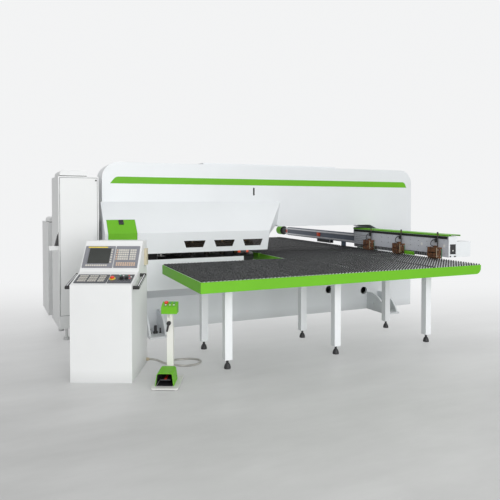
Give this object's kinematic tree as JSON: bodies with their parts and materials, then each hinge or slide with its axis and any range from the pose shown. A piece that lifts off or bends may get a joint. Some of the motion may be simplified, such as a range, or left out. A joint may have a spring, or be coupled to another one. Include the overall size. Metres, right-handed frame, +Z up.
{
  "type": "turret punch press",
  "caption": "Turret punch press with brush tables, travelling clamp beam, hooded turret, operator console, pedal stand and electrical cabinets.",
  "frame": {"origin": "on the floor, under the centre of the main frame", "axes": "+X along the frame towards its closed right column, +Y to the rear, +Z up"},
  "size_m": [5.6919, 5.405, 2.271],
  "materials": {
    "white_paint": "satin",
    "green_paint": "satin",
    "brush_plate": "satin",
    "blue_paint": "satin",
    "carriage_paint": "satin",
    "clamp_paint": "satin",
    "ground_steel": "ground",
    "tool_steel": "satin",
    "cast_black": "matt",
    "black_plastic": "matt",
    "red_plastic": "glossy",
    "orange_plastic": "glossy",
    "belt_rubber": "matt",
    "conduit_metal": "ribbed",
    "gland_brass": "satin",
    "window_pane": "clear"
  },
  "bodies": {
    "machine": {"main_frame": "white_paint", "frame_feet": "white_paint", "jack_screws": "cast_black", "turret_axles": "ground_steel", "turret_motor": "cast_black", "drive_belts": "belt_rubber", "ram_cylinder": "cast_black", "turret_hood": "white_paint", "hood_windows": "window_pane", "lower_cover": "white_paint", "rear_covers": "white_paint", "table_skirts": "green_paint", "outer_brush_plates": "brush_plate", "table_legs": "white_paint", "levelling_feet": "cast_black", "centre_table_frame": "green_paint", "centre_brush_plates": "brush_plate", "guide_rails": "ground_steel", "console_cabinet": "white_paint", "screen_unit": "black_plastic", "keypad_unit": "black_plastic", "operator_panels": "black_plastic", "console_handles": "black_plastic", "pedal_base": "white_paint", "pedal_hood": "green_paint", "conduit_glands": "gland_brass", "conduit": "conduit_metal", "electrical_cabinet": "white_paint", "power_unit": "white_paint", "roof_cowls": "white_paint"},
    "turret_upper": {"upper_turret": "ground_steel", "punch_tools": "tool_steel"},
    "turret_lower": {"lower_turret": "ground_steel"},
    "turret_shaft": {"drive_shaft": "ground_steel"},
    "punch_ram": {"ram": "ground_steel"},
    "hood_door": {"access_door": "green_paint"},
    "hood_latch": {"door_latch": "black_plastic"},
    "beam": {"cross_beam": "blue_paint", "beam_rails": "ground_steel", "beam_end_plates": "white_paint", "carriage_motor": "cast_black", "position_switch": "orange_plastic"},
    "carriage": {"clamp_carriage": "carriage_paint", "beam_cover": "green_paint", "clamp_bodies": "clamp_paint", "clamp_hoses": "belt_rubber", "reference_stop": "green_paint"},
    "jaw_1": {"clamp_jaw_1": "ground_steel"},
    "jaw_2": {"clamp_jaw_2": "ground_steel"},
    "jaw_3": {"clamp_jaw_3": "ground_steel"},
    "console_rear_door": {"console_door": "white_paint"},
    "console_stop_button": {"console_estop": "red_plastic"},
    "feed_override": {"feed_knob": "black_plastic"},
    "mode_switch": {"mode_knob": "black_plastic"},
    "pedal": {"foot_pedal": "red_plastic"},
    "station": {"station_post": "white_paint", "station_box": "green_paint"},
    "station_stop_button": {"station_estop": "red_plastic"},
    "lever": {"clamp_lever": "black_plastic"},
    "cabinet_front_door": {"cabinet_door": "white_paint"}
  },
  "joints": [
    {"name": "beam_travel", "type": "slide", "parent": "machine", "child": "beam", "axis": [-1, 0, 0], "range_m": [0, 1.2]},
    {"name": "carriage_travel", "type": "slide", "parent": "beam", "child": "carriage", "axis": [0, 1, 0], "range_m": [0, 2.3]},
    {"name": "jaw_1_open", "type": "hinge", "parent": "carriage", "child": "jaw_1", "pos_m": [1.452, -0.55, 1.044], "axis": [0, 1, 0], "range_deg": [0, 8]},
    {"name": "jaw_2_open", "type": "hinge", "parent": "carriage", "child": "jaw_2", "pos_m": [1.452, -1.25, 1.044], "axis": [0, 1, 0], "range_deg": [0, 8]},
    {"name": "jaw_3_open", "type": "hinge", "parent": "carriage", "child": "jaw_3", "pos_m": [1.452, -1.96, 1.044], "axis": [0, 1, 0], "range_deg": [0, 8]},
    {"name": "turret_index", "type": "hinge", "parent": "machine", "child": "turret_upper", "pos_m": [-0.957, 0, 1.12], "axis": [0, 0, 1], "continuous": true},
    {"name": "lower_turret_index", "type": "hinge", "parent": "machine", "child": "turret_lower", "pos_m": [-0.957, 0, 0.93], "axis": [0, 0, 1], "continuous": true},
    {"name": "drive_shaft_spin", "type": "hinge", "parent": "machine", "child": "turret_shaft", "pos_m": [-1.677, 0, 1], "axis": [0, 0, 1], "continuous": true},
    {"name": "ram_stroke", "type": "slide", "parent": "machine", "child": "punch_ram", "axis": [0, 0, -1], "range_m": [0, 0.038]},
    {"name": "hood_door_open", "type": "hinge", "parent": "machine", "child": "hood_door", "pos_m": [-2.314, -0.69604, 1.246], "axis": [1, 0, 0], "range_deg": [0, 95]},
    {"name": "hood_latch_turn", "type": "hinge", "parent": "hood_door", "child": "hood_latch", "pos_m": [-2.314, -0.56474, 1.458], "axis": [0, -0.6881, 0.7256], "range_deg": [0, 90]},
    {"name": "console_door_open", "type": "hinge", "parent": "machine", "child": "console_rear_door", "pos_m": [-2.25571, -1.65622, 0.65], "axis": [0, 0, -1], "range_deg": [0, 95]},
    {"name": "cabinet_door_open", "type": "hinge", "parent": "machine", "child": "cabinet_front_door", "pos_m": [-3.02904, -0.47874, 1.167], "axis": [0, 0, -1], "range_deg": [0, 110]},
    {"name": "console_stop_press", "type": "slide", "parent": "machine", "child": "console_stop_button", "axis": [0.1329, 0.295, -0.9462], "range_m": [0, 0.006], "stiffness_N_per_m": 200, "springref_m": -0.002},
    {"name": "feed_knob_turn", "type": "hinge", "parent": "machine", "child": "feed_override", "pos_m": [-2.56197, -2.11211, 0.97404], "axis": [-0.1329, -0.295, 0.9462], "range_deg": [-135, 135]},
    {"name": "mode_knob_turn", "type": "hinge", "parent": "machine", "child": "mode_switch", "pos_m": [-2.51639, -2.13264, 0.97404], "axis": [-0.1329, -0.295, 0.9462], "range_deg": [-45, 45]},
    {"name": "pedal_press", "type": "hinge", "parent": "machine", "child": "pedal", "pos_m": [-2.16965, -2.35701, 0.056], "axis": [0.9118, -0.4107, 0], "range_deg": [0, 12], "stiffness_Nm_per_rad": 12, "springref_deg": -17.19},
    {"name": "station_height", "type": "slide", "parent": "machine", "child": "station", "axis": [0, 0, 1], "range_m": [0, 0.2]},
    {"name": "station_stop_press", "type": "slide", "parent": "station", "child": "station_stop_button", "axis": [0.1277, 0.2836, -0.9504], "range_m": [0, 0.006], "stiffness_N_per_m": 200, "springref_m": -0.002},
    {"name": "lever_turn", "type": "hinge", "parent": "station", "child": "lever", "pos_m": [-2.14447, -2.30112, 0.547], "axis": [-0.4107, -0.9118, 0], "range_deg": [0, 70]}
  ],
  "couplings": [
    {"joint": "jaw_2_open", "follows": "jaw_1_open", "ratio": 1},
    {"joint": "jaw_3_open", "follows": "jaw_1_open", "ratio": 1},
    {"joint": "lower_turret_index", "follows": "turret_index", "ratio": 1},
    {"joint": "drive_shaft_spin", "follows": "turret_index", "ratio": 9}
  ]
}
